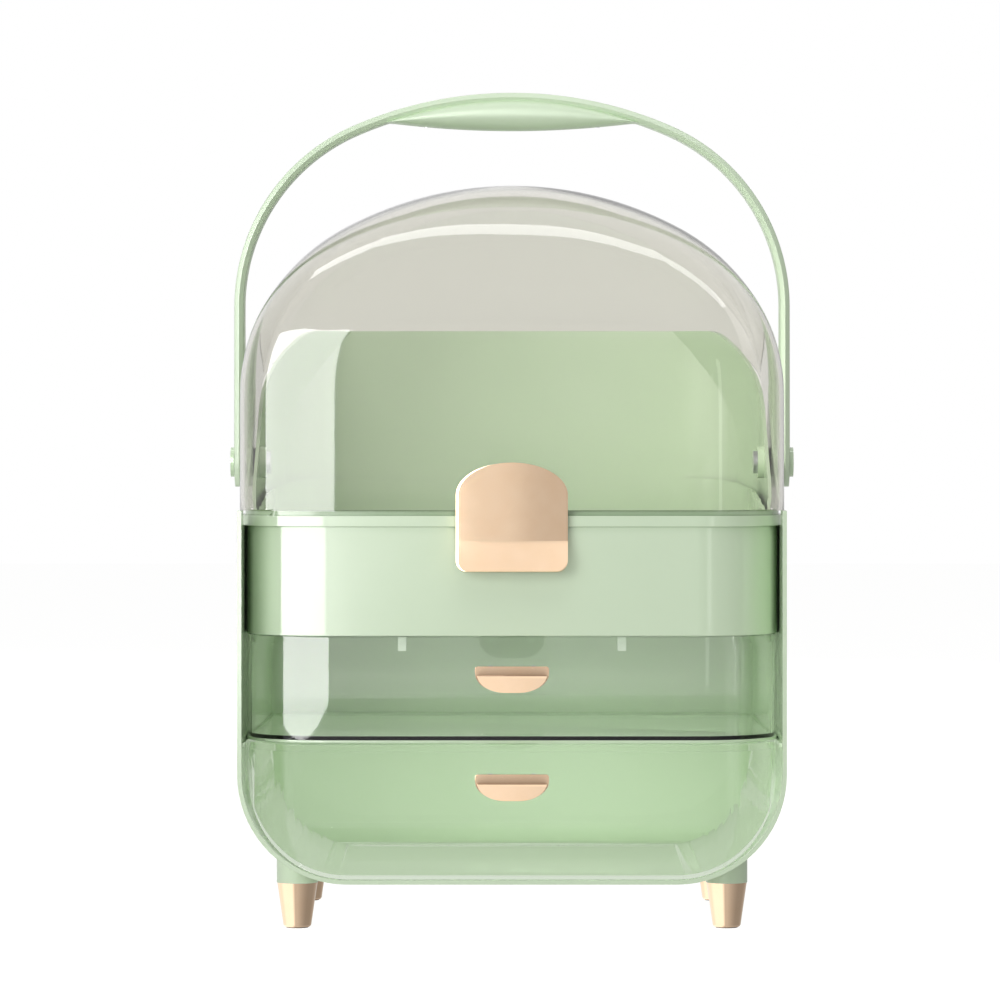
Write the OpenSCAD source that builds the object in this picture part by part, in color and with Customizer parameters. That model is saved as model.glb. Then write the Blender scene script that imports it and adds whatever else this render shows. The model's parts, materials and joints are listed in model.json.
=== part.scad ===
// Vanity organizer: a round-bottomed drawer case on four legs, with a compartment under a clear dome
// lid and an arched carrying handle. Millimetres. The origin is on the floor under the centre of the
// object, X runs to the right, Y runs to the back and Z runs up.

/* [Case] */
// Width of the case
body_w = 280; // [268:1:292]
// Depth of the case
body_d = 210; // [200:1:220]
// Thickness of the case walls
body_wall = 2.2; // [2:0.1:2.6]
// Radius of the two lower corners, seen from the front
base_r = 56; // [50:1:62]
// Radius of the upright rear corners
rear_r = 24; // [20:1:28]
// Radius of the edge between the back and the bottom
heel_r = 18; // [14:1:22]
// Height of the ears of the side walls above the rim
ear_h = 2.6; // [1:0.1:4]
// Length of those ears along the side walls
ear_l = 20; // [12:1:22]

/* [Legs] */
// Height of a plated leg cap
cap_h = 22.8; // [18:0.2:28]
// Diameter of a leg cap at its top
cap_top_d = 20.8; // [19:0.2:23]
// Diameter of a leg cap at its foot
cap_foot_d = 14.4; // [13.6:0.2:16]
// Height of a moulded leg stub below the case
leg_drop = 1.3; // [0.8:0.1:3]
// Distance from each side of the case to the middle of a leg
leg_inset_x = 29.5; // [27:0.5:33]
// Distance from the front and the back of the case to the middle of a leg
leg_inset_y = 30; // [27:0.5:40]
// Diameter of a leg screw
leg_screw_d = 4; // [3.5:0.1:4.5]
// Height that a rubber pad stands below its cap
pad_proud = 0.5; // [0.3:0.1:1]
// Thickness of a rubber pad
pad_t = 2; // [1.6:0.1:3]

/* [Drawers] */
// Height of the lower drawer
lower_h = 68.5; // [64:0.5:76]
// Height of the middle drawer
middle_h = 52.6; // [46:0.2:60]
// Thickness of the drawer walls
drawer_wall = 2; // [1.6:0.1:2.4]
// Height of the thick rim round the top of a drawer
drawer_rim_h = 3.6; // [2.4:0.2:5]
// Extra thickness of that rim
drawer_rim_t = 1; // [0.6:0.1:1.4]
// Play between a drawer and the case on each side
drawer_play = 1.4; // [1.2:0.1:2]
// Radius of the upright front corners of the drawers and the tray
front_r = 43; // [38:1:46]
// Thickness of the shelf between the drawers
shelf_t = 1.6; // [1.4:0.1:2]
// Width of the ledges that carry the shelf
ledge_w = 1.1; // [0.8:0.1:1.1]

/* [Drawer pulls] */
// Width of a pull
pull_w = 37.7; // [32:0.1:44]
// Height of a pull
pull_h = 13.2; // [11:0.2:15]
// How far a pull stands out from the drawer
pull_reach = 9; // [8:0.2:9.4]
// Thickness of the metal of a pull
pull_t = 1.8; // [1.5:0.1:2.2]
// Distance from the top of a drawer to the top of its pull
pull_drop = 14.8; // [12:0.2:18]
// Distance between the two screws of a pull
pull_screw_span = 22; // [16:1:26]

/* [Tray] */
// Height of the tray's front below its flange
tray_h = 55.5; // [48:0.5:64]
// Thickness of the flange round the tray
flange_t = 5.6; // [4.6:0.2:7]
// Thickness of the tray walls
tray_wall = 2.2; // [1.8:0.1:2.6]
// Width of the ledge between the flange's edge and the compartment
tray_ledge = 8; // [7.8:0.1:9]
// Height of the compartment's floor above the tray's lower edge
floor_lift = 4.7; // [4:0.1:8]
// Height of the upstand behind the compartment
upstand_h = 16.3; // [12:0.1:20]

/* [Back shell] */
// Height of the back shell above the rim
shell_h = 96.8; // [88:0.2:100]
// Thickness of the back shell
shell_wall = 2.2; // [1.8:0.1:2.4]
// Radius of its upright rear corners
shell_r = 46; // [44:1:52]
// Play between the shell and the dome as the dome turns round it
shell_play = 1.4; // [1.2:0.1:2]
// Distance from the back of the case to the back of the shell
shell_inset = 9.5; // [9:0.1:12]

/* [Dome lid] */
// Height of the dome from the rim to its crown
lid_h = 172.3; // [164:0.1:178]
// Thickness of the dome
lid_wall = 2; // [1.6:0.1:2.2]
// Height of the shadow gap under the front of the dome
lid_gap = 2.2; // [1.8:0.1:3]
// How far the dome stands out past the case on each side
lid_over = 0.6; // [0.4:0.1:0.8]
// Radius of the crown, seen from the front
crown_r = 181; // [172:1:190]
// Radius of the two shoulders, seen from the front
shoulder_r = 101; // [94:1:106]
// Radius of the upright corners at the rim
lid_corner_r = 40; // [36:1:44]
// Height of the pivot above the rim
pivot_h = 26.2; // [25:0.1:28]
// Distance from the rim to where the upright corners begin to widen
widen_h = 42; // [38:1:48]
// Rise of the dome's rear edge from the pivots to the back, in degrees
lid_rear_angle = 33; // [32:0.5:34]

/* [Lid tab] */
// Width of the tab on the lid
tab_w = 56.8; // [48:0.2:64]
// Height of the tab
tab_h = 55.8; // [50:0.2:60]
// Height of the folded lip at its foot
tab_lip_h = 17; // [14:0.5:20]
// How far the lip stands out
tab_lip_out = 5; // [3:0.5:7]
// Thickness of the tab
tab_t = 1.8; // [1.4:0.1:2.4]
// Height of the tab above the rim
tab_up = 27.2; // [24:0.2:28]
// Thickness of the pad between the tab and the dome
tab_pad_t = 1.8; // [1.6:0.1:2.4]

/* [Handle] */
// Height of the handle's top above the pivot
handle_h = 194.9; // [188:0.1:204]
// Thickness of the strap
strap_t = 5; // [4:0.1:6]
// Width of the strap at its top
strap_top_w = 20; // [16:1:24]
// Width of the strap at the pivots
strap_end_w = 26; // [22:1:30]
// Gap between the strap and the dome on each side
strap_gap = 0.8; // [0.7:0.1:1.2]
// Radius of the handle's crown, seen from the front
handle_crown_r = 210; // [200:1:220]
// Radius of the handle's shoulders, seen from the front
handle_shoulder_r = 104; // [98:1:110]
// Length of the hand grip
grip_l = 132; // [110:1:150]
// Thickness of the grip under the middle of the strap
grip_t = 15; // [12:0.5:18]
// Width of the grip
grip_w = 25; // [20:1:28]

/* [Pivots] */
// Diameter of a pivot pin
pin_d = 6; // [5:0.1:7]
// Diameter of the pin's outer head
pin_head_d = 15.6; // [14:0.2:18]
// Thickness of that head
pin_head_t = 1.9; // [1.4:0.1:2.6]
// Play between a pin and what turns on it, on the radius
pin_fit = 0.05; // [0.03:0.01:0.08]

/* [Hidden] */
$fn = 48;

green = [0.76, 0.87, 0.74];
clear = [0.82, 0.86, 0.82, 0.45];
smoky = [0.78, 0.77, 0.74, 0.45];
rose = [0.87, 0.7, 0.57];
steel = [0.75, 0.76, 0.78];
dark = [0.25, 0.25, 0.26];

seat = 0.3;                      // gap at a seat between loose or separate pieces
cut = 1;                         // how far a cutting shape runs past what it cuts
half_w = body_w / 2;
half_d = body_d / 2;
body_z = pad_proud + cap_h + leg_drop;
inner_w = half_w - body_wall;    // half the width between the side walls
lower_z = body_z + body_wall + seat;
roof_gap = 0.5;                  // gap over a drawer
shelf_z = lower_z + lower_h + roof_gap;
middle_z = shelf_z + shelf_t + seat;
tray_z = middle_z + middle_h + roof_gap + 0.2;
flange_z = tray_z + tray_h;
rim_z = flange_z + flange_t;
lid_z = rim_z + lid_gap;
pivot_z = rim_z + pivot_h;
front_gap = 1.2;                 // how far the drawer and tray fronts lie behind the case's edge
face_y = -half_d + front_gap;
drawer_w = inner_w - drawer_play;
drawer_r = base_r - (half_w - drawer_w);
drawer_back = half_d - body_wall - 6.8;
drawer_rear_r = 12;
drawer_heel_r = heel_r - 5;      // radius of the edge between a drawer's back and its bottom
tray_w = inner_w - 0.2;
bowl_w = half_w - tray_ledge;
shell_w = half_w - 2.8;
shell_y = half_d - shell_inset;
shell_z = rim_z + shell_h;
shell_front = -54;               // where the slanted front edge meets the rim
shell_top_front = 60;            // where it meets the top edge
bowl_y = shell_y - shell_wall - seat;
lid_w = half_w + lid_over;
lid_top = rim_z + lid_h;
lid_d = half_d - 0.4;
strap_w = lid_w + strap_gap;     // half the clear width between the two strap ends
boss_x = shell_w + 0.2;          // outer face of the pivot bosses
slope = atan2(shell_z - rim_z, shell_top_front - shell_front);

// The origin lies under the centre of the whole object, tab and pulls included
front_reach = max(lid_d + tab_pad_t + tab_lip_out + tab_t, pull_reach - face_y);
module placed() translate([0, (front_reach - half_d) / 2, 0]) children();

// Points on an arc about c
function arc(c, r, from, to, steps) =
    [for (i = [0:steps]) let (a = from + (to - from) * i / steps) c + r * [cos(a), sin(a)]];

// Plan outline of half width w between y0 and y1, with front corner radius rf and rear corner radius rb
function plan(w, y0, y1, rf, rb) = concat(
    arc([w - rf, y0 + rf], rf, -90, 0, 16), arc([w - rb, y1 - rb], rb, 0, 90, 12),
    arc([rb - w, y1 - rb], rb, 90, 180, 12), arc([rf - w, y0 + rf], rf, 180, 270, 16));

// Front outline of a cradle of half width w and lower corner radius r
function cradle(w, z0, z1, r) = concat([[-w, z1]], arc([r - w, z0 + r], r, 180, 270, 18),
    arc([w - r, z0 + r], r, 270, 360, 18), [[w, z1]]);

// Front outline of an arch: crown radius rc, shoulder radius rs, half width w, from z0 to its top
function crown_angle(w, rc, rs) = asin((w - rs) / (rc - rs));
function shoulder_z(w, rc, rs, top) = top - rc + (rc - rs) * cos(crown_angle(w, rc, rs));
function arch(w, z0, top, rc, rs, g, steps = 16) = let (
    a = crown_angle(w, rc, rs), zs = shoulder_z(w, rc, rs, top)) concat(
    [[w - g, z0]], arc([w - rs, zs], rs - g, 0, 90 - a, steps),
    arc([0, top - rc], rc - g, 90 - a, 90 + a, steps),
    arc([rs - w, zs], rs - g, 90 + a, 180, steps), [[g - w, z0]]);

// Pushes an outline along one axis
module along_x(points, x0, x1)
    translate([x0, 0, 0]) rotate([90, 0, 90]) linear_extrude(x1 - x0) polygon(points);
module along_y(points, y0, y1)
    translate([0, y1, 0]) rotate([90, 0, 0]) linear_extrude(y1 - y0) polygon(points);
module along_z(points, z0, z1) translate([0, 0, z0]) linear_extrude(z1 - z0) polygon(points);
module rod_x(d, x0, x1) translate([x0, 0, 0]) rotate([0, 90, 0]) cylinder(d = d, h = x1 - x0);
module both_sides() { children(); mirror([1, 0, 0]) children(); }
module at_side(side) { if (side > 0) children(); else mirror([1, 0, 0]) children(); }
module at_pivot() translate([0, 0, pivot_z]) children();

// ---- case ----

leg_x = half_w - leg_inset_x;
leg_places = [for (y = [-1, 1], x = [-1, 1]) [x * leg_x, y * (half_d - leg_inset_y)]];
stub_z = body_z - leg_drop;
cap_top_z = pad_proud + cap_h;
cap_shelf = 8;                   // depth of the solid top of a leg cap, where its screw bears
cap_bore_r = 4.4;                // room inside a cap for the screw's head
cap_lip = 1.4;                   // width of the ring round the pad
leg_head_h = 2.6;
// Height of the case's curved underside at a distance x from the middle
function underside_z(x) = body_z + base_r - sqrt(pow(base_r, 2) - pow(max(0, x - half_w + base_r), 2));
screw_top = underside_z(leg_x - leg_screw_d / 2) + seat;

module case_block(g, top, front) intersection() {
    along_y(cradle(half_w - g, body_z + g, top, base_r - g), front, half_d - g);
    along_z(concat([[half_w - g, front], [half_w - g, half_d - rear_r]],
        arc([half_w - rear_r, half_d - rear_r], rear_r - g, 0, 90, 8),
        arc([rear_r - half_w, half_d - rear_r], rear_r - g, 90, 180, 8),
        [[g - half_w, half_d - rear_r], [g - half_w, front]]), body_z - cut, top);
    along_x(concat([[front, top], [front, body_z + g]],
        arc([half_d - heel_r, body_z + heel_r], heel_r - g, -90, 0, 8), [[half_d - g, top]]),
        -body_w, body_w);
}

module body_shell() color(green) difference() {
    union() {
        difference() {
            union() {
                case_block(0, rim_z + ear_h, -half_d);
                for (p = leg_places) translate([p.x, p.y, stub_z])
                    cylinder(d = cap_top_d + 0.6, h = base_r / 3);
            }
            case_block(body_wall, rim_z + ear_h + cut, -half_d - cut);
            along_x(concat([[-half_d + ear_l, rim_z + ear_h + cut], [half_d + cut, rim_z + ear_h + cut],
                [half_d + cut, flange_z]], arc([-half_d + ear_l + 5, flange_z + 5], 5, -90, -180, 5)),
                -body_w, body_w);
        }
        both_sides() translate([inner_w - ledge_w, -half_d + 10, shelf_z - 2])
            cube([ledge_w + body_wall / 2, body_d - 10 - rear_r, 2]);
    }
    for (p = leg_places) translate([p.x, p.y, stub_z - cut])
        cylinder(d = leg_screw_d + 0.04, h = screw_top + 0.1 - stub_z + cut);
}

module drawer_shelf() color(green)
    along_z(plan(inner_w - seat, -half_d + 8, half_d - body_wall - seat, front_r, rear_r - body_wall),
        shelf_z, shelf_z + shelf_t);

// ---- tray ----

module upstand_limits() intersection() {
    along_y(concat([[-bowl_w, flange_z]], [for (i = [0:8]) let (a = 180 - 90 * i / 8)
        [-bowl_w + 28 + 28 * cos(a), rim_z + upstand_h / 2 + upstand_h / 2 * sin(a)]],
        [for (i = [0:8]) let (a = 90 - 90 * i / 8)
        [bowl_w - 28 + 28 * cos(a), rim_z + upstand_h / 2 + upstand_h / 2 * sin(a)]],
        [[bowl_w, flange_z]]), -half_d, half_d);
    along_x([[shell_front - 4, flange_z], [half_d, flange_z], [half_d, rim_z + upstand_h],
        [bowl_y - 20, rim_z + upstand_h], [shell_front - 4, rim_z + 1]], -body_w, body_w);
}

module bowl_plan(g, z0, z1)
    along_z(plan(bowl_w - g, face_y + 6 + g, bowl_y - g, front_r - 5 - g, shell_r - shell_wall - g), z0, z1);

// Low fence inside the foot of the dome, which keeps dust out at the shadow gap
fence_play = 0.8;                // play between the fence and the dome
fence_t = 1.8;
fence_h = 2.8;
module dust_fence() difference() {
    w = lid_w - lid_wall - fence_play;
    y = lid_wall + fence_play - lid_d;
    r = lid_corner_r - lid_wall - fence_play;
    along_z(plan(w, y, shell_front - 1, r, 1), flange_z, rim_z + fence_h);
    along_z(plan(w - fence_t, y + fence_t, half_d, r - fence_t, 1), flange_z - cut, rim_z + fence_h + cut);
}

module upper_tray() color(green) difference() {
    union() {
        dust_fence();
        along_z(plan(half_w, -half_d, half_d, front_r + front_gap, rear_r), flange_z, rim_z);
        difference() {
            along_z(plan(tray_w, face_y, half_d - body_wall - seat, front_r, rear_r - body_wall), tray_z,
                flange_z + cut);
            along_z(plan(tray_w - tray_wall, face_y + tray_wall, half_d - body_wall - seat - tray_wall,
                front_r - tray_wall, rear_r - body_wall - tray_wall), tray_z - cut, flange_z);
        }
        bowl_plan(0, tray_z + floor_lift, rim_z);
        intersection() {
            bowl_plan(0, flange_z, rim_z + upstand_h);
            upstand_limits();
            union() {
                shell_block(shell_wall + seat);
                along_z(plan(bowl_w, face_y, half_d, 1, 1), flange_z, rim_z);
            }
        }
    }
    bowl_plan(tray_wall, tray_z + floor_lift + tray_wall, rim_z + upstand_h + cut);
    shell_screw_holes(0.02);
}

// ---- back shell ----

head_h = 1.4;                    // height of the small screw heads
shell_screw_z = rim_z + 8;
shell_screws = [for (i = [-1.5:1:1.5]) i * shell_w * 0.39];
shell_screw_d = 3;

shell_screw_deep = shell_wall + seat + tray_wall - 0.6;
module shell_screw_holes(fit) for (x = shell_screws) translate([x, shell_y + cut, shell_screw_z])
    rotate([90, 0, 0]) cylinder(d = shell_screw_d + 2 * fit, h = shell_screw_deep + cut + 0.1);

// The form that the dome's front outline, set in by g, sweeps as it turns about the pivots.
// What lies inside it stays clear of the dome at every angle.
module swept_form(g) at_pivot() rotate([0, 90, 0]) rotate_extrude()
    polygon([for (p = arch(lid_w, pivot_z, lid_top, crown_r, shoulder_r, g, 8)) [p.y - pivot_z, p.x]]);

module shell_block(g) intersection() {
    along_z(plan(shell_w - g, -half_d, shell_y - g, 10, shell_r - g), rim_z - g, shell_z + g);
    swept_form(lid_wall + shell_play + g);
}

module back_shell() color(green) difference() {
    union() {
        difference() {
            shell_block(0);
            shell_block(shell_wall);
            along_x(concat([[-half_d - cut, rim_z - cut], [shell_front, rim_z - cut], [shell_front, rim_z]],
                arc([shell_top_front + 14, shell_z - 14], 14, 90 + slope, 90, 4),
                [[shell_top_front + 14, shell_z + 2 * cut], [-half_d - cut, shell_z + 2 * cut]]),
                -body_w, body_w);
        }
        both_sides() at_pivot() rod_x(17, shell_w - 6.2, boss_x);
    }
    both_sides() at_pivot() rod_x(pin_d + 0.04, shell_w - 8, boss_x + cut);
    shell_screw_holes(0.1);
}

module back_shell_screws() color(steel) for (x = shell_screws) translate([x, shell_y, shell_screw_z])
    rotate([90, 0, 0]) {
        translate([0, 0, -head_h]) cylinder(d = 2 * shell_screw_d, h = head_h);
        cylinder(d = shell_screw_d, h = shell_screw_deep);
    }

// ---- dome lid ----

// Half width, half depth and corner share of the dome at height z, all set in by g
function dome_x(z, g) = let (
    a = crown_angle(lid_w, crown_r, shoulder_r), zs = shoulder_z(lid_w, crown_r, shoulder_r, lid_top),
    zt = lid_top - crown_r + (crown_r - g) * cos(a))
    z <= zs ? lid_w - g : z < zt ? lid_w - shoulder_r + sqrt(max(0, pow(shoulder_r - g, 2) - pow(z - zs, 2)))
    : sqrt(max(0, pow(crown_r - g, 2) - pow(z - lid_top + crown_r, 2)));
function dome_y(z, g) = let (zs = lid_top - lid_d)
    z <= zs ? lid_d - g : sqrt(max(0, pow(lid_d - g, 2) - pow(z - zs, 2)));
function widen(z) = pow(max(0, z - rim_z - widen_h) / (lid_top - rim_z - widen_h), 2);
function dome_ring(z, g) = let (x = dome_x(z, g), y = dome_y(z, g), w = widen(z),
    kx = (lid_corner_r - g) / (lid_w - g), ky = (lid_corner_r - g) / (lid_d - g),
    rx = x * (kx + (1 - kx) * w), ry = y * (ky + (1 - ky) * w))
    [for (q = [0:3], i = [0:dome_steps]) let (a = 90 * (q + i / dome_steps),
        sx = (q == 0 || q == 3) ? 1 : -1, sy = q < 2 ? 1 : -1)
        [sx * (x - rx) + rx * cos(a), sy * (y - ry) + ry * sin(a), z]];
dome_steps = 9;
dome_levels = 11;

// The solid dome, set in by g, from z0 to its crown
module dome_block(g, z0) {
    zs = lid_top - lid_d;
    heights = concat([z0, rim_z + widen_h],
        [for (i = [0:dome_levels - 1]) zs + (lid_d - g) * sin(90 * i / dome_levels)]);
    n = 4 * (dome_steps + 1);
    last = len(heights) - 1;
    points = concat([for (z = heights) for (p = dome_ring(z, g)) p], [[0, 0, z0], [0, 0, lid_top - g]]);
    faces = concat(
        [for (k = [0:last - 1], i = [0:n - 1]) let (j = (i + 1) % n) [k * n + i, k * n + j, k * n + n + i]],
        [for (k = [0:last - 1], i = [0:n - 1]) let (j = (i + 1) % n) [k * n + j, k * n + n + j, k * n + n + i]],
        [for (i = [0:n - 1]) [(i + 1) % n, i, len(points) - 2]],
        [for (i = [0:n - 1]) [last * n + i, last * n + (i + 1) % n, len(points) - 1]]);
    polyhedron(points, [for (f = faces) [f[0], f[2], f[1]]], convexity = 4);
}

tab_y = -lid_d - tab_pad_t;      // rear face of the tab's upright plate
tab_z = rim_z + tab_up - tab_h;
tab_pad_z = lid_z + 4;
tab_screw_z = lid_z + 12;
tab_screw_x = 12;
tab_screw_d = 3;

module lid_dome() color(smoky) difference() {
    dome_block(0, lid_z);
    dome_block(lid_wall, lid_z - cut);
    along_x(concat([[body_d * cos(lid_rear_angle), pivot_z + body_d * sin(lid_rear_angle)],
        [body_d, lid_z - cut], [0, lid_z - cut]],
        arc([0, pivot_z], pivot_z - lid_z, -90, lid_rear_angle, 12)), -body_w, body_w);
    both_sides() at_pivot() rod_x(pin_d + 2 * pin_fit, lid_w - lid_wall - cut, lid_w + cut);
    both_sides() translate([tab_screw_x, -lid_d - cut, tab_screw_z]) rotate([-90, 0, 0])
        cylinder(d = tab_screw_d + 0.2, h = lid_wall + 2 * cut);
}

// Front outline of the tab: a flattened arch over a plate with small lower corners
function tab_outline() = let (w = tab_w / 2, z1 = tab_z + tab_h) concat(
    arc([w - 5.5, tab_z + 5.5], 5.5, -90, 0, 6),
    [for (i = [0:16]) let (a = 180 * i / 16) [w * cos(a), z1 - 16.5 + 16.5 * sin(a)]],
    arc([5.5 - w, tab_z + 5.5], 5.5, 180, 270, 6));

module lid_tab() color(rose) difference() {
    union() {
        intersection() {
            along_y(tab_outline(), tab_y - tab_lip_out - 2 * tab_t, tab_y);
            along_x([[tab_y, tab_z + tab_h], [tab_y, tab_z + tab_lip_h - 1], [tab_y - tab_lip_out, tab_z],
                [tab_y - tab_lip_out - tab_t, tab_z + 0.6], [tab_y - tab_t, tab_z + tab_lip_h],
                [tab_y - tab_t, tab_z + tab_h]], -tab_w, tab_w);
        }
        translate([-tab_w / 3, tab_y, tab_pad_z]) cube([2 * tab_w / 3, tab_pad_t, 16]);
    }
    both_sides() translate([tab_screw_x, tab_y - tab_t / 2, tab_screw_z]) rotate([-90, 0, 0])
        cylinder(d = tab_screw_d + 0.04, h = tab_t + tab_pad_t + cut);
}

module tab_screws() color(steel) both_sides() translate([tab_screw_x, 0, tab_screw_z]) rotate([-90, 0, 0]) {
    translate([0, 0, tab_y - tab_t / 2 + 0.1])
        cylinder(d = tab_screw_d, h = tab_t / 2 - 0.1 + tab_pad_t + lid_wall);
    translate([0, 0, lid_wall - lid_d]) cylinder(d = 2 * tab_screw_d, h = head_h);
}

// ---- handle ----

handle_top = pivot_z + handle_h;
handle_w = strap_w + strap_t;    // half the width over the strap
grip_screw_x = grip_l * 0.34;
grip_head_z = 2.2;               // height of the screw heads above the strap's underside
grip_screw_deep = 8;             // depth of the screws in the grip
grip_screw_d = 3;
grip_r = 9;                      // radius of the grip's two lower edges
grip_z = handle_top - strap_t - grip_t;
function strap_z(x, g) = handle_top - handle_crown_r + sqrt(pow(handle_crown_r - g, 2) - x * x);

module strap_arch(g, y0, y1)
    along_y(arch(handle_w, pivot_z - strap_end_w, handle_top, handle_crown_r, handle_shoulder_r, g), y0, y1);

module handle_strap() color(green) difference() {
    intersection() {
        difference() {
            strap_arch(0, -strap_end_w, strap_end_w);
            strap_arch(strap_t, -strap_end_w - cut, strap_end_w + cut);
            translate([-strap_w, -strap_end_w - cut, pivot_z - strap_end_w - cut])
                cube([2 * strap_w, 2 * (strap_end_w + cut), strap_end_w + 2 * cut]);
        }
        union() {
            along_x([[-strap_end_w / 2, pivot_z], [strap_end_w / 2, pivot_z],
                [strap_top_w / 2, handle_top + cut], [-strap_top_w / 2, handle_top + cut]],
                -handle_w - cut, handle_w + cut);
            at_pivot() rod_x(strap_end_w, -handle_w - cut, handle_w + cut);
        }
    }
    both_sides() at_pivot() rod_x(pin_d + 2 * pin_fit, strap_w - cut, handle_w + cut);
    both_sides() translate([grip_screw_x, 0, strap_z(grip_screw_x, strap_t) - 2]) {
        cylinder(d = grip_screw_d + 0.2, h = 2 * strap_t);
        translate([0, 0, grip_head_z + 2]) cylinder(d = 2 * grip_screw_d + 0.4, h = strap_t);
    }
}

module handle_grip() color(green) difference() {
    intersection() {
        strap_arch(strap_t, -grip_w / 2, grip_w / 2);
        along_y(let (edge_z = strap_z(grip_l / 2, strap_t), s = edge_z - grip_z,
            r = (pow(grip_l / 2, 2) + s * s) / (2 * s), a = asin(grip_l / 2 / r))
            concat(arc([0, grip_z + r], r, -90 - a, -90 + a, 12),
                [[grip_l / 2, handle_top], [-grip_l / 2, handle_top]]),
            -grip_w, grip_w);
        along_x(concat(arc([grip_w / 2 - grip_r, grip_z + grip_r], grip_r, -90, 0, 6),
            [[grip_w / 2 - 1.5, handle_top], [1.5 - grip_w / 2, handle_top]],
            arc([grip_r - grip_w / 2, grip_z + grip_r], grip_r, 180, 270, 6)), -grip_l, grip_l);
    }
    both_sides() translate([grip_screw_x, 0, strap_z(grip_screw_x, strap_t) - grip_screw_deep - cut])
        cylinder(d = grip_screw_d + 0.04, h = grip_screw_deep + 4 * cut);
}

module grip_screws() color(steel) both_sides()
    translate([grip_screw_x, 0, strap_z(grip_screw_x, strap_t)]) {
        translate([0, 0, -grip_screw_deep]) cylinder(d = grip_screw_d, h = grip_screw_deep + grip_head_z);
        translate([0, 0, grip_head_z]) cylinder(d = 2 * grip_screw_d, h = head_h);
    }

// ---- pivots ----

nut_t = 2.4;

module pivot_pin(side) color(green) at_side(side) at_pivot() {
    rod_x(pin_d, shell_w - 6.2 - nut_t, handle_w + seat);
    rod_x(pin_head_d, handle_w + seat, handle_w + seat + pin_head_t);
}
module pivot_nut(side) color(steel) at_side(side) at_pivot() difference() {
    rod_x(12, shell_w - 6.2 - nut_t, shell_w - 6.2);
    rod_x(pin_d + 0.04, shell_w - 7.2 - nut_t, shell_w - 5.2);
}
module friction_washer(side) color(dark) at_side(side) at_pivot() difference() {
    rod_x(13, lid_w + 0.15, strap_w - 0.15);
    rod_x(pin_d + 2 * pin_fit, lid_w - cut, strap_w + cut);
}
module lid_spacer(side) color(dark) at_side(side) at_pivot() difference() {
    rod_x(15, boss_x, lid_w - lid_wall - 0.15);
    rod_x(pin_d + 2 * pin_fit, boss_x - cut, lid_w);
}

module pivot_pin_left() pivot_pin(-1);
module pivot_pin_right() pivot_pin(1);
module pivot_nut_left() pivot_nut(-1);
module pivot_nut_right() pivot_nut(1);
module friction_washer_left() friction_washer(-1);
module friction_washer_right() friction_washer(1);
module lid_spacer_left() lid_spacer(-1);
module lid_spacer_right() lid_spacer(1);

// ---- drawers ----

pull_screw_d = 2.6;
pull_screw_deep = 1.8;           // depth of the screws in the pull
pull_strip_h = 4.7;              // height of the strip of a pull that shows above its lip
pull_strip_t = 2.4;              // thickness of that strip
pull_plate_t = 1.2;              // thickness of the plate below it
pull_lean = 0.6;                 // how far the lip leans back to its lower edge
function pull_z(z0, h) = z0 + h - pull_drop - pull_h;
function pull_screw_z(z0, h) = z0 + h - pull_drop - pull_strip_h / 2;

// A drawer's solid block with lower corner radius r, set in by g
module drawer_block(z0, z1, r, g) intersection() {
    along_y(cradle(drawer_w - g, z0 + g, z1, max(r - g, 1)), face_y - cut, half_d);
    along_z(plan(drawer_w - g, face_y + g, drawer_back - g, front_r - g, drawer_rear_r - g), z0 - cut, z1);
    along_x(concat([[face_y - cut, z1], [face_y - cut, z0 + g]],
        arc([drawer_back - drawer_heel_r, z0 + drawer_heel_r], drawer_heel_r - g, -90, 0, 6),
        [[drawer_back - g, z1]]), -body_w, body_w);
}

module drawer(z0, h, r) difference() {
    drawer_block(z0, z0 + h, r, 0);
    intersection() {
        drawer_block(z0, z0 + h + cut, r, drawer_wall);
        union() {
            along_z([[-body_w, -body_d], [body_w, -body_d], [body_w, body_d], [-body_w, body_d]], 0,
                z0 + h - drawer_rim_h);
            along_z(plan(drawer_w - drawer_wall - drawer_rim_t, face_y + drawer_wall + drawer_rim_t,
                drawer_back - drawer_wall - drawer_rim_t, front_r - drawer_wall - drawer_rim_t,
                drawer_rear_r - drawer_wall - drawer_rim_t), z0, z0 + h + cut);
        }
    }
    both_sides() translate([pull_screw_span / 2, face_y - cut, pull_screw_z(z0, h)]) rotate([-90, 0, 0])
        cylinder(d = pull_screw_d + 0.2, h = drawer_wall + 2 * cut);
}

// Half-moon outline of a pull of half width w between z0 and z1
function half_moon(w, z0, z1) = let (c = 1.5, rz = (z1 - z0) * 0.72, rx = 1.5 * rz) concat(
    arc([w - c, z1 - c], c, 0, 90, 4), arc([c - w, z1 - c], c, 90, 180, 4),
    [for (i = [0:8]) let (a = 180 + 90 * i / 8) [rx - w + rx * cos(a), z0 + rz + rz * sin(a)]],
    [for (i = [0:8]) let (a = 270 + 90 * i / 8) [w - rx + rx * cos(a), z0 + rz + rz * sin(a)]]);

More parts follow.
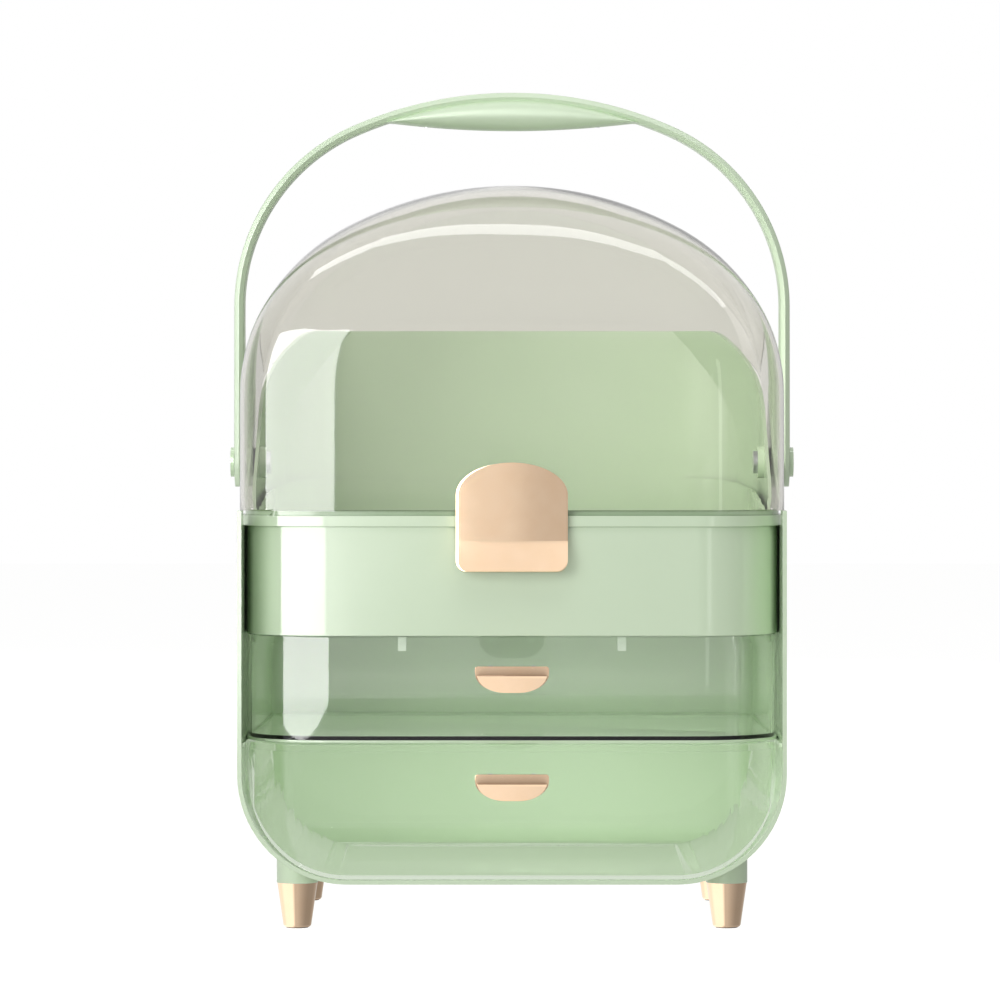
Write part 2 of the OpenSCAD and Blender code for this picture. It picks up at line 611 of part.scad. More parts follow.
// Cup pull: a half-moon plate on the drawer's face, and a lip in front of it that is open below
module pull(z0, h) {
    z = pull_z(z0, h);
    top = z + pull_h;
    lip_z = top - pull_strip_h;
    reach = face_y - pull_reach;
    difference() {
        union() {
            intersection() {
                along_y(half_moon(pull_w / 2, z, top), face_y - pull_strip_t - cut, face_y);
                along_x([[face_y, z], [face_y, top], [face_y - pull_strip_t, top],
                    [face_y - pull_strip_t, lip_z - pull_t], [face_y - pull_plate_t, lip_z - pull_t],
                    [face_y - pull_plate_t, z]], -pull_w, pull_w);
            }
            intersection() {
                along_y(half_moon(pull_w / 2 - 1, z, top), reach - cut, face_y);
                along_x([[face_y, lip_z], [reach + 1, lip_z], [reach, lip_z - 1],
                    [reach + pull_lean, z], [reach + pull_lean + pull_t, z],
                    [reach + pull_t, lip_z - pull_t], [face_y, lip_z - pull_t]], -pull_w, pull_w);
            }
        }
        both_sides() translate([pull_screw_span / 2, face_y - pull_screw_deep, pull_screw_z(z0, h)])
            rotate([-90, 0, 0]) cylinder(d = pull_screw_d + 0.04, h = pull_screw_deep + cut);
    }
}

module pull_screws(z0, h) both_sides()
    translate([pull_screw_span / 2, face_y, pull_screw_z(z0, h)]) rotate([-90, 0, 0]) {
        translate([0, 0, 0.1 - pull_screw_deep])
            cylinder(d = pull_screw_d, h = pull_screw_deep - 0.1 + drawer_wall);
        translate([0, 0, drawer_wall]) cylinder(d = 2 * pull_screw_d, h = head_h);
    }

module middle_drawer() color(clear) drawer(middle_z, middle_h, 4);
module lower_drawer() color(clear) drawer(lower_z, lower_h, drawer_r);
module middle_pull() color(rose) pull(middle_z, middle_h);
module lower_pull() color(rose) pull(lower_z, lower_h);
module middle_pull_screws() color(steel) pull_screws(middle_z, middle_h);
module lower_pull_screws() color(steel) pull_screws(lower_z, lower_h);

catch_w = 4.4;
catch_h = 7.2;
catch_x = body_w / 5;            // place of each catch from the middle
module middle_catches() color(clear) both_sides() translate([catch_x - catch_w / 2,
    face_y + drawer_wall + drawer_rim_t, middle_z + middle_h - catch_h]) cube([catch_w, 1.2, catch_h + 0.2]);

// ---- legs ----

module leg_cap(i) color(rose) translate([leg_places[i].x, leg_places[i].y, pad_proud])
    rotate_extrude() polygon([[cap_foot_d / 2 - cap_lip, 0], [cap_foot_d / 2 - 0.6, 0],
        [cap_foot_d / 2, 0.9], [cap_top_d / 2, cap_h],
        [leg_screw_d / 2 + 0.2, cap_h], [leg_screw_d / 2 + 0.2, cap_h - cap_shelf],
        [cap_bore_r, cap_h - cap_shelf], [cap_bore_r, pad_t - pad_proud],
        [cap_foot_d / 2 - cap_lip, pad_t - pad_proud]]);
module leg_cap_front_left() leg_cap(0);
module leg_cap_front_right() leg_cap(1);
module leg_cap_rear_left() leg_cap(2);
module leg_cap_rear_right() leg_cap(3);

module leg_screws() color(steel) for (p = leg_places) translate([p.x, p.y, cap_top_z - cap_shelf]) {
    translate([0, 0, -leg_head_h]) cylinder(d = 2 * leg_screw_d, h = leg_head_h);
    cylinder(d = leg_screw_d, h = screw_top - cap_top_z + cap_shelf);
}

module leg_pads() color(dark) for (p = leg_places) translate([p.x, p.y, 0])
    cylinder(d = cap_foot_d - 2 * cap_lip - 0.2, h = pad_t);

placed() body_shell();
placed() drawer_shelf();
placed() upper_tray();
placed() back_shell();
placed() back_shell_screws();
placed() lid_dome();
placed() lid_tab();
placed() tab_screws();
placed() handle_strap();
placed() handle_grip();
placed() grip_screws();
placed() pivot_pin_left();
placed() pivot_pin_right();
placed() pivot_nut_left();
placed() pivot_nut_right();
placed() friction_washer_left();
placed() friction_washer_right();
placed() lid_spacer_left();
placed() lid_spacer_right();
placed() middle_drawer();
placed() middle_pull();
placed() middle_pull_screws();
placed() middle_catches();
placed() lower_drawer();
placed() lower_pull();
placed() lower_pull_screws();
placed() leg_cap_front_left();
placed() leg_cap_front_right();
placed() leg_cap_rear_left();
placed() leg_cap_rear_right();
placed() leg_screws();
placed() leg_pads();
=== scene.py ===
import json
import math

import bmesh
import bpy
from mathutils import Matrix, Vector


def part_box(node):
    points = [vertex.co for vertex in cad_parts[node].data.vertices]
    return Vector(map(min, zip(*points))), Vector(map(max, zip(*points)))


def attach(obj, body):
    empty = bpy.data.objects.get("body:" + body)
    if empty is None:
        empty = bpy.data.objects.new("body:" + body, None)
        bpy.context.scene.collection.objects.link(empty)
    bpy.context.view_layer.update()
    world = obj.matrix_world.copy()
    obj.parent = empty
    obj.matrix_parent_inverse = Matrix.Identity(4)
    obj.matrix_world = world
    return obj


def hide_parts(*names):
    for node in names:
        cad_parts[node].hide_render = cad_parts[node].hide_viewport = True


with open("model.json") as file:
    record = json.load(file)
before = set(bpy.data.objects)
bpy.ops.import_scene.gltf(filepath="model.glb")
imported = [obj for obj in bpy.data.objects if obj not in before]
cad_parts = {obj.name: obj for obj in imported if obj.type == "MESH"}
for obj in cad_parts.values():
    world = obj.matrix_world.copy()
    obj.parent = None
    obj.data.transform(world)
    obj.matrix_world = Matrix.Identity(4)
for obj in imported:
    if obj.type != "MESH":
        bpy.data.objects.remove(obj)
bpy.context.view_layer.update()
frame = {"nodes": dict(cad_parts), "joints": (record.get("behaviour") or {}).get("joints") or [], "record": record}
nodes = frame["nodes"]
mm = 0.001
print("vanity organizer: packed parts loaded")


def hexToLinear(text):
    # an sRGB hex colour as linear light, opaque
    parts = [int(text[i:i + 2], 16) / 255 for i in (1, 3, 5)]
    return [c / 12.92 if c <= 0.04045 else ((c + 0.055) / 1.055) ** 2.4 for c in parts] + [1.0]


def addNode(tree, kind, settings=None, inputs=None):
    # inputs go by name or number; in a Mix node 2 and 3 are its two numbers, 6 and 7 its two colours
    node = tree.nodes.new(kind)
    for name, value in (settings or {}).items():
        setattr(node, name, value)
    for name, value in (inputs or {}).items():
        if isinstance(value, bpy.types.NodeSocket):
            tree.links.new(value, node.inputs[name])
        else:
            node.inputs[name].default_value = value
    return node


def newMaterial(name):
    material = bpy.data.materials.new(name)
    material.use_nodes = True
    material.node_tree.nodes.clear()
    return material, material.node_tree


cameraView = {
    "place": (0.0, -2.8009, 0.2714),         # level view, square to the drawers
    "lens": 190.9, "sensorWidth": 36,        # a long lens, in mm
    "shift": (-0.012, -0.1),
    "farLimit": 50,
}


def buildCamera():
    bpy.context.scene.view_settings.view_transform = "Standard"
    camera = bpy.data.objects.new("studioCamera", bpy.data.cameras.new("studioCamera"))
    camera.data.lens, camera.data.sensor_width = cameraView["lens"], cameraView["sensorWidth"]
    camera.data.shift_x, camera.data.shift_y = cameraView["shift"]
    camera.data.clip_end = cameraView["farLimit"]
    camera.location = cameraView["place"]
    camera.rotation_euler = (math.radians(90), 0, 0)
    bpy.context.scene.collection.objects.link(camera)
    bpy.context.scene.camera = camera


def seenDirectly(tree):
    # 1 for rays from the camera and for what is seen through clear plastic
    path = addNode(tree, "ShaderNodeLightPath")
    return addNode(tree, "ShaderNodeMath", {"operation": "MAXIMUM"},
                   {0: path.outputs["Is Camera Ray"], 1: path.outputs["Is Transmission Ray"]}).outputs[0]


room = {
    "mattLevel": 0.24,                       # what the room gives to matt surfaces
    "left": 0.97, "right": 0.72,             # what polished surfaces see on either side,
    "farRight": 0.36, "overhead": 1.25,
    "underLevel": 1.3,                       # a little below level, where the pulls' lips look,
    "lowFront": 0.72, "lowLeft": 1.6,        # and low down, where the legs look
}


def seenInGloss(tree):
    # the room as polished surfaces show it: bright overhead and on the left, dim on the right
    place = addNode(tree, "ShaderNodeTexCoord")
    way = addNode(tree, "ShaderNodeSeparateXYZ", {}, {"Vector": place.outputs["Generated"]})
    low = addNode(tree, "ShaderNodeMapRange", {},   # low left to low in front
                  {"Value": way.outputs["X"], "From Min": -0.45, "From Max": -0.2,
                   "To Min": room["lowLeft"], "To Max": room["lowFront"]})
    under = addNode(tree, "ShaderNodeMapRange", {},   # level to a little below
                    {"Value": way.outputs["Z"], "From Min": -0.12, "From Max": -0.2,
                     "To Min": room["left"], "To Max": room["underLevel"]})
    left = addNode(tree, "ShaderNodeMapRange", {},   # and on down to low
                   {"Value": way.outputs["Z"], "From Min": -0.25, "From Max": -0.29,
                    "To Min": under.outputs[0], "To Max": low.outputs[0]})
    side = addNode(tree, "ShaderNodeMapRange", {"interpolation_type": "SMOOTHSTEP"},   # left to right
                   {"Value": way.outputs["X"], "From Min": -0.012, "From Max": 0.03,
                    "To Min": left.outputs[0], "To Max": room["right"]})
    far = addNode(tree, "ShaderNodeMapRange", {},   # fading to the far right
                  {"Value": way.outputs["X"], "From Min": 0.03, "From Max": 0.9,
                   "To Min": 1.0, "To Max": room["farRight"] / room["right"]})
    level = addNode(tree, "ShaderNodeMath", {"operation": "MULTIPLY"},
                    {0: side.outputs[0], 1: far.outputs[0]})
    top = addNode(tree, "ShaderNodeMapRange", {"interpolation_type": "SMOOTHSTEP"},
                  {"Value": way.outputs["Z"], "From Min": 0.2, "From Max": 0.55,
                   "To Min": 0.0, "To Max": room["overhead"]})
    return addNode(tree, "ShaderNodeMath", {"operation": "MAXIMUM"},
                   {0: level.outputs[0], 1: top.outputs[0]}).outputs[0]


def buildRoom():
    world = bpy.data.worlds.new("paperRoom")
    bpy.context.scene.world = world
    world.use_nodes = True
    tree = world.node_tree
    tree.nodes.clear()
    path = addNode(tree, "ShaderNodeLightPath")
    indirect = addNode(tree, "ShaderNodeMix", {"data_type": "FLOAT"},
                       {"Factor": path.outputs["Is Glossy Ray"], 2: room["mattLevel"], 3: seenInGloss(tree)})
    level = addNode(tree, "ShaderNodeMix", {"data_type": "FLOAT"},
                    {"Factor": seenDirectly(tree), 2: indirect.outputs[0], 3: 1.0})
    air = addNode(tree, "ShaderNodeBackground", {}, {"Color": (1, 1, 1, 1), "Strength": level.outputs[0]})
    addNode(tree, "ShaderNodeOutputWorld", {}, {"Surface": air.outputs[0]})


paperFloor = {
    "tone": "#8f8f8d", "halfSize": 6.0,
    "glow": 0.92, "bounce": 0.42,            # how bright the paper looks, and what it gives back to the part
}


def buildFloor():
    material, tree = newMaterial("paperSweep")   # matt paper: white to the eye, with a soft contact shadow
    paper = addNode(tree, "ShaderNodeBsdfDiffuse", {}, {"Color": hexToLinear(paperFloor["tone"])})
    glow = addNode(tree, "ShaderNodeMix", {"data_type": "FLOAT"},
                   {"Factor": seenDirectly(tree), 2: paperFloor["bounce"], 3: paperFloor["glow"]})
    light = addNode(tree, "ShaderNodeEmission", {}, {"Color": (1, 1, 1, 1), "Strength": glow.outputs[0]})
    both = addNode(tree, "ShaderNodeAddShader", {}, {0: paper.outputs[0], 1: light.outputs[0]})
    addNode(tree, "ShaderNodeOutputMaterial", {}, {"Surface": both.outputs[0]})
    half = paperFloor["halfSize"]
    corners = [(-half, -half, 0), (half, -half, 0), (half, half, 0), (-half, half, 0)]
    mesh = bpy.data.meshes.new("floor")
    mesh.from_pydata(corners, [], [(0, 1, 2, 3)])
    floor = bpy.data.objects.new("floor", mesh)
    bpy.context.scene.collection.objects.link(floor)
    mesh.materials.append(material)
    floor.visible_glossy = False             # polished parts show the room all round instead


lamps = {
    # name: place, aim, width, height, radiance, seen in gloss, lights matt surfaces
    "softboxGloss": ((-1.302, -1.45, 0.891), (0, 0, 0.88), 3.0, 1.818, 11.0, True, False),
    "softboxFill": ((-1.15, -1.6, 0.7), (0, 0, 0.22), 1.2, 1.2, 3.7, False, True),
    "windowGloss": ((0.8, -2.2, 0.45), (0, 0, 0.2), 0.2, 0.9, 2.0, True, False),
    "overheadStrip": ((0.12, 0.12, 1.6), (0.07, 0, 0.3), 2.0, 0.2, 4.5, True, False),
    "overheadFill": ((0.0, -0.5, 1.9), (0, 0, 0.2), 1.6, 1.2, 2.2, False, True),
    "frontFill": ((0.0, -2.7, 0.2714), (0, 0, 0.22), 0.6, 0.6, 7.4, False, True),
    "rearFill": ((0.7, 2.4, 0.9), (0, 0, 0.2), 1.4, 1.0, 3.0, False, True),
    # small lamps behind the clear fronts, facing in, so that the rooms of the case aren't dark
    "lowerRoomFill": ((0.02, -0.08, 0.062), (0.03, 0.09, 0.056), 0.1, 0.05, 7.0, False, True),
    "middleRoomFill": ((0.02, -0.08, 0.128), (0.03, 0.09, 0.105), 0.1, 0.035, 4.8, False, True),
    "domeRoomFill": ((0.06, -0.06, 0.29), (0.1, 0.1, 0.25), 0.08, 0.08, 4.0, False, True),
}


def buildLamps():
    for name, (place, aim, width, height, radiance, inGloss, onMatt) in lamps.items():
        light = bpy.data.lights.new(name, "AREA")
        light.shape, light.size, light.size_y = "RECTANGLE", width, height
        light.energy = radiance * math.pi * width * height   # watts that give this radiance
        lamp = bpy.data.objects.new(name, light)
        lamp.location = place
        lamp.rotation_euler = (Vector(aim) - Vector(place)).to_track_quat("-Z", "Y").to_euler()
        lamp.visible_camera = False
        lamp.visible_glossy, lamp.visible_diffuse = inGloss, onMatt
        lamp.visible_transmission = False
        bpy.context.scene.collection.objects.link(lamp)


buildCamera()
buildRoom()
buildFloor()
buildLamps()
print("vanity organizer: camera, room, floor and lamps set")


def mottle(tree, sizeMm, detail=2.0):
    # a cloudy pattern that is fixed to the part, with patches of this size
    place = addNode(tree, "ShaderNodeTexCoord")
    return addNode(tree, "ShaderNodeTexNoise", {},
                   {"Vector": place.outputs["Object"], "Scale": 1 / (sizeMm * mm), "Detail": detail})


def paintedGapShade(tree, colour, paintedShadeTone, reachMm, openLevel):
    # painted shade: a darker colour laid into narrow gaps and inner corners where shade falls, found from how open
    # each place is
    closedLevel = 0.15                       # how open a place is where the painted shade is deepest
    nearby = addNode(tree, "ShaderNodeAmbientOcclusion", {"samples": 8}, {"Distance": reachMm * mm})
    depth = addNode(tree, "ShaderNodeMapRange", {},
                    {"Value": nearby.outputs["AO"], "From Min": closedLevel, "From Max": openLevel})
    return addNode(tree, "ShaderNodeMix", {"data_type": "RGBA"},
                   {0: depth.outputs[0], 6: hexToLinear(paintedShadeTone), 7: colour.outputs[2]})


greenAbs = {
    "colour": "#cedfc3", "shade": "#c6d9bb",
    "paintedShadeTone": "#6d8a60",                    # painted shade down in gaps
    "openLevel": 0.75,                       # how open a place is that has no painted shade
    "roughness": (0.09, 0.16), "ior": 1.53,  # polished
    "satin": 0.24,                           # how much duller the handle is than the case
    "cloudMm": 60,                           # drifts of the pigment
    "grainMm": 9,                            # ripples of the gloss, coarser than real ones so that they show
    "rippleStrength": 0.05, "rippleMm": 0.03,
}


def mouldedAbs(name, shadeReachMm=0.0, duller=0.0):
    # injection moulded ABS: an even milky green with a hard gloss
    material, tree = newMaterial(name)
    cloud = mottle(tree, greenAbs["cloudMm"])
    grain = mottle(tree, greenAbs["grainMm"])
    colour = addNode(tree, "ShaderNodeMix", {"data_type": "RGBA"},
                     {0: cloud.outputs["Fac"], 6: hexToLinear(greenAbs["colour"]),
                      7: hexToLinear(greenAbs["shade"])})
    # painted shade in gaps and inner corners, out to the given reach
    if shadeReachMm:
        colour = paintedGapShade(tree, colour, greenAbs["paintedShadeTone"], shadeReachMm, greenAbs["openLevel"])
    smoothest, roughest = greenAbs["roughness"]
    gloss = addNode(tree, "ShaderNodeMapRange", {},
                    {"Value": grain.outputs["Fac"],
                     "To Min": smoothest + duller, "To Max": roughest + duller})
    ripple = addNode(tree, "ShaderNodeBump", {},
                     {"Height": grain.outputs["Fac"], "Strength": greenAbs["rippleStrength"],
                      "Distance": greenAbs["rippleMm"] * mm})
    shader = addNode(tree, "ShaderNodeBsdfPrincipled", {},
                     {"Base Color": colour.outputs[2], "Roughness": gloss.outputs[0], "IOR": greenAbs["ior"],
                      "Normal": ripple.outputs[0]})
    addNode(tree, "ShaderNodeOutputMaterial", {}, {"Surface": shader.outputs[0]})
    return material


styrene = {
    "ior": 1.5, "roughest": 0.04,
    "waveMm": 40, "waveStrength": 0.05, "waveDepthMm": 0.3,     # slow waves of a moulded clear wall
}
styreneTints = {
    # edge: the colour of the painted glow that stands in for light piped along a wall
    "clearStyrene": {"tint": "#fafcf8", "shadowTint": "#fdfefd", "edge": "#d5e0cf"},
    "smokyStyrene": {"tint": "#eeede7", "shadowTint": "#fcfcfb", "edge": "#b4b3ad",
                     "smoke": "#c4c2bd", "smokeDensity": 70.0},
}


def clearMoulding(finish, name, piping=8.5):
    # transparent polystyrene: polished clear walls that bend the view at their edges and let the lamps through.
    # Where a ray turns inside a wall more often than piping, the wall shows a painted glow of the edge colour in
    # place of light piped along it.
    look = styreneTints[finish]
    material, tree = newMaterial(name)
    wave = mottle(tree, styrene["waveMm"])
    bump = addNode(tree, "ShaderNodeBump", {},
                   {"Height": wave.outputs["Fac"], "Strength": styrene["waveStrength"],
                    "Distance": styrene["waveDepthMm"] * mm})
    wipe = addNode(tree, "ShaderNodeMapRange", {},
                   {"Value": wave.outputs["Fac"], "To Min": 0.0, "To Max": styrene["roughest"]})
    glass = addNode(tree, "ShaderNodeBsdfPrincipled", {},
                    {"Base Color": hexToLinear(look["tint"]), "Roughness": wipe.outputs[0],
                     "IOR": styrene["ior"], "Transmission Weight": 1.0, "Normal": bump.outputs[0]})
    through = addNode(tree, "ShaderNodeBsdfTransparent", {}, {"Color": hexToLinear(look["shadowTint"])})
    path = addNode(tree, "ShaderNodeLightPath")
    lampRay = addNode(tree, "ShaderNodeMath", {"operation": "MAXIMUM"},
                      {0: path.outputs["Is Shadow Ray"], 1: path.outputs["Is Diffuse Ray"]})
    wall = addNode(tree, "ShaderNodeMixShader", {},
                   {0: lampRay.outputs[0], 1: glass.outputs[0], 2: through.outputs[0]})
    trapped = addNode(tree, "ShaderNodeMath", {"operation": "GREATER_THAN"},
                      {0: path.outputs["Ray Depth"], 1: piping})
    # painted glow: an emission of the edge colour, standing in for light piped along the wall
    glow = addNode(tree, "ShaderNodeEmission", {}, {"Color": hexToLinear(look["edge"])})
    shader = addNode(tree, "ShaderNodeMixShader", {},
                     {0: trapped.outputs[0], 1: wall.outputs[0], 2: glow.outputs[0]})
    out = addNode(tree, "ShaderNodeOutputMaterial", {}, {"Surface": shader.outputs[0]})
    if "smoke" in look:
        # smoke in the plastic itself: it darkens where the eye looks along the wall
        smoke = addNode(tree, "ShaderNodeVolumeAbsorption", {},
                        {"Color": hexToLinear(look["smoke"]), "Density": look["smokeDensity"]})
        tree.links.new(smoke.outputs[0], out.inputs["Volume"])
    return material


platings = {
    "roseGoldPlate": {"colour": "#efd2b4", "shade": "#e9c8a6", "roughness": (0.04, 0.08),
                      # painted shade in the cup pulls' hollows
                      "paintedShadeTone": "#4a2c12", "openLevel": 1.0},
    "zincPlatedSteel": {"colour": "#c3c6c9", "shade": "#aeb2b6", "roughness": (0.25, 0.35)},
}
platingGrain = {"cloudMm": 12, "grainMm": 0.8, "detail": 3.0}   # the real grain is finer; this one can show


def platedMetal(finish, name, shadeReachMm=0.0):
    # bright plating over moulded plastic or steel: a mirror softened by the part beneath
    look = platings[finish]
    material, tree = newMaterial(name)
    cloud = mottle(tree, platingGrain["cloudMm"])
    grain = mottle(tree, platingGrain["grainMm"], platingGrain["detail"])
    colour = addNode(tree, "ShaderNodeMix", {"data_type": "RGBA"},
                     {0: cloud.outputs["Fac"], 6: hexToLinear(look["colour"]), 7: hexToLinear(look["shade"])})
    # painted shade in hollows and inner corners, out to the given reach
    if shadeReachMm:
        colour = paintedGapShade(tree, colour, look["paintedShadeTone"], shadeReachMm, look["openLevel"])
    smoothest, roughest = look["roughness"]
    gloss = addNode(tree, "ShaderNodeMapRange", {},
                    {"Value": grain.outputs["Fac"], "To Min": smoothest, "To Max": roughest})
    shader = addNode(tree, "ShaderNodeBsdfPrincipled", {},
                     {"Base Color": colour.outputs[2], "Metallic": 1.0, "Roughness": gloss.outputs[0]})
    addNode(tree, "ShaderNodeOutputMaterial", {}, {"Surface": shader.outputs[0]})
    return material


grainedMouldings = {
    "mouldedNylon": {"colour": "#3a3a3c", "shade": "#303032", "roughness": 0.55},
    "mouldedRubber": {"colour": "#1c1c1c", "shade": "#262626", "roughness": 0.8},
    "hazyStyrene": {"colour": "#d9e6d3", "shade": "#cfdfc8", "roughness": 0.28},
}
mouldGrain = {"grainMm": 0.7, "detail": 3.0, "strength": 0.3, "depthMm": 0.05}   # coarse enough to show


def grainedMoulding(finish):
    # moulded nylon, rubber or hazy styrene: opaque and slightly mottled, with a fine grain from the mould
    look = grainedMouldings[finish]
    material, tree = newMaterial(finish)
    grain = mottle(tree, mouldGrain["grainMm"], mouldGrain["detail"])
    tone = addNode(tree, "ShaderNodeMix", {"data_type": "RGBA"},
                   {0: grain.outputs["Fac"], 6: hexToLinear(look["colour"]), 7: hexToLinear(look["shade"])})
    bump = addNode(tree, "ShaderNodeBump", {},
                   {"Height": grain.outputs["Fac"], "Strength": mouldGrain["strength"],
                    "Distance": mouldGrain["depthMm"] * mm})
    shader = addNode(tree, "ShaderNodeBsdfPrincipled", {},
                     {"Base Color": tone.outputs[2], "Roughness": look["roughness"],
                      "Normal": bump.outputs[0]})
    addNode(tree, "ShaderNodeOutputMaterial", {}, {"Surface": shader.outputs[0]})
    return material


finishes = {
    "green_plastic": mouldedAbs("mouldedAbs"),
    "clear_plastic": clearMoulding("clearStyrene", "clearStyrene"),
    "smoky_plastic": clearMoulding("smokyStyrene", "smokyStyrene"),
    "rose_plating": platedMetal("roseGoldPlate", "roseGoldPlate"),
    "screw_steel": platedMetal("zincPlatedSteel", "zincPlatedSteel"),
    "washer_nylon": grainedMoulding("mouldedNylon"),
    "pad_rubber": grainedMoulding("mouldedRubber"),
}
for part in frame["record"]["subparts"]:
    nodes[part["node"]].material_slots[0].material = finishes[part["material_slot"]]

satinAbs = mouldedAbs("mouldedAbsSatin", duller=greenAbs["satin"])       # for the strap and the grip
# the pulls' plating, with painted shade in their cups
cupPlatingGapShade = platedMetal("roseGoldPlate", "roseGoldPlateCupGapShade", shadeReachMm=8.0)
ownFinishes = {
    # the tray's ABS, with painted shade in its gaps and under its flange
    "upper_tray": mouldedAbs("mouldedAbsTrayGapShade", shadeReachMm=6.0),
    "middle_pull": cupPlatingGapShade, "lower_pull": cupPlatingGapShade,
    # the lower drawer's walls show the painted edge glow after fewer turns
    "lower_drawer": clearMoulding("clearStyrene", "clearStyrenePaintedEdgeGlow", piping=5.5),
    "middle_catches": grainedMoulding("hazyStyrene"),
}
for name, material in ownFinishes.items():
    nodes[name].material_slots[0].material = material
print("vanity organizer: finishes on every part")

mouldedEdges = {
    "radiiMm": {
        "body_shell": 0.6, "upper_tray": 0.7, "back_shell": 0.6, "drawer_shelf": 0.3,
        "middle_drawer": 0.5, "lower_drawer": 0.5,
        "middle_pull": 0.35, "lower_pull": 0.35, "middle_catches": 0.2,
    },
    "cornerAngle": math.radians(32),         # edges that turn by more than this are rounded
    "flatAngle": math.radians(0.3),          # faces that turn by less than this are one flat
    "weld": 0.01 * mm, "segments": 3,
}


def markEdges(mesh, inside):
    # picks the edges to round inside a region and keeps the others crisp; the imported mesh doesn't share
    # its corners between faces, so the two faces at an edge are matched by place
    places = [tuple(round(c / mouldedEdges["weld"]) for c in vertex.co) for vertex in mesh.vertices]
    normals = {}
    for polygon in mesh.polygons:
        for key in polygon.edge_keys:
            normals.setdefault(frozenset(places[i] for i in key), []).append(polygon.normal.copy())
    marks = mesh.attributes.new("bevel_weight_edge", "FLOAT", "EDGE")
    crisp = mesh.attributes.new("sharp_edge", "BOOLEAN", "EDGE")
    for edge in mesh.edges:
        ends = [mesh.vertices[i].co for i in edge.vertices]
        sides = normals.get(frozenset(places[i] for i in edge.vertices), [])
        corner = len(sides) == 2 and sides[0].angle(sides[1], 0) > mouldedEdges["cornerAngle"]
        marked = corner and inside(ends[0]) and inside(ends[1])
        marks.data[edge.index].value = float(marked)
        crisp.data[edge.index].value = corner and not marked


def roundEdges(part, radius, inside=None):
    # one smooth skin: flats stay flat, facets of a round run together, and every edge gets its moulded radius
    mesh = part.data
    for name in ("custom_normal", "sharp_edge"):
        if name in mesh.attributes:
            mesh.attributes.remove(mesh.attributes[name])
    for polygon in mesh.polygons:
        polygon.use_smooth = True
    if inside:
        markEdges(mesh, inside)
    part.modifiers.new("weld", "WELD").merge_threshold = mouldedEdges["weld"]
    flats = part.modifiers.new("flats", "DECIMATE")
    flats.decimate_type, flats.angle_limit = "DISSOLVE", mouldedEdges["flatAngle"]
    bevel = part.modifiers.new("edge", "BEVEL")
    bevel.width, bevel.segments = radius, mouldedEdges["segments"]
    bevel.limit_method, bevel.angle_limit = "WEIGHT" if inside else "ANGLE", mouldedEdges["cornerAngle"]
    part.modifiers.new("skin", "WEIGHTED_NORMAL").keep_sharp = True


trayLow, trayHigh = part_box("upper_tray")
trayRim = {"cornerRadius": 0.0442, "depth": 0.001, "rearEnd": 0.09, "foot": 0.2064, "top": 0.2126}


def onTrayRim(point):
    # the flange's outer outline, round the front and both sides
    across = max(0.0, abs(point.x) - trayHigh.x + trayRim["cornerRadius"])
    forward = max(0.0, trayLow.y + trayRim["cornerRadius"] - point.y)
    outline = math.hypot(across, forward) > trayRim["cornerRadius"] - trayRim["depth"]
    return outline and point.y < trayRim["rearEnd"] and trayRim["foot"] < point.z < trayRim["top"]


for name, radius in mouldedEdges["radiiMm"].items():
    roundEdges(nodes[name], radius * mm, onTrayRim if name == "upper_tray" else None)
print("vanity organizer: moulded edges rounded")


def newPiece(name, verts, faces, material, smooth=True):
    mesh = bpy.data.meshes.new(name)
    mesh.from_pydata(verts, [], faces)
    work = bmesh.new()
    work.from_mesh(mesh)
    bmesh.ops.remove_doubles(work, verts=work.verts, dist=0.001 * mm)
    bmesh.ops.recalc_face_normals(work, faces=work.faces)
    work.to_mesh(mesh)
    work.free()
    for polygon in mesh.polygons:
        polygon.use_smooth = smooth
    piece = bpy.data.objects.new(name, mesh)
    bpy.context.scene.collection.objects.link(piece)
    mesh.materials.append(material)
    return piece


def applyModifiers(piece):
    bpy.context.view_layer.update()
    ready = bpy.data.meshes.new_from_object(piece.evaluated_get(bpy.context.evaluated_depsgraph_get()))
    piece.modifiers.clear()
    piece.data = ready


creaseAngle = math.radians(40)               # edges of a carved piece that turn by more stay crisp


def carve(piece, cutters):
    for cutter in cutters:
        cut = piece.modifiers.new("cut", "BOOLEAN")
        cut.operation, cut.solver, cut.object = "DIFFERENCE", "EXACT", cutter
    applyModifiers(piece)
    for cutter in cutters:
        bpy.data.objects.remove(cutter)
    piece.data.set_sharp_from_angle(angle=creaseAngle)


def bandFaces(ringCount, count):
    # the faces between rings of count points each, one ring after another
    faces = []
    for k in range(ringCount - 1):
        here, above = k * count, (k + 1) * count
        for i in range(count):
            j = (i + 1) % count
            faces.append((here + i, here + j, above + j, above + i))
    return faces


def prismCutter(outlines):
    # a cutter between two outlines with the same number of points
    count = len(outlines[0])
    faces = bandFaces(2, count) + [tuple(reversed(range(count))), tuple(range(count, 2 * count))]
    return newPiece("cutter", outlines[0] + outlines[1], faces, None, False)


rod = {"length": 0.01, "sides": 48}


def rodCutter(axis, centre, radius):
    # a cutter: a rod about centre, along X or Z
    length, sides = rod["length"], rod["sides"]
    outlines = []
    for end in (-0.5, 0.5):
        outline = []
        for i in range(sides):
            a = 2 * math.pi * i / sides
            u, v = radius * math.cos(a), radius * math.sin(a)
            offset = (end * length, u, v) if axis == "X" else (u, v, end * length)
            outline.append([c + o for c, o in zip(centre, offset)])
        outlines.append(outline)
    return prismCutter(outlines)


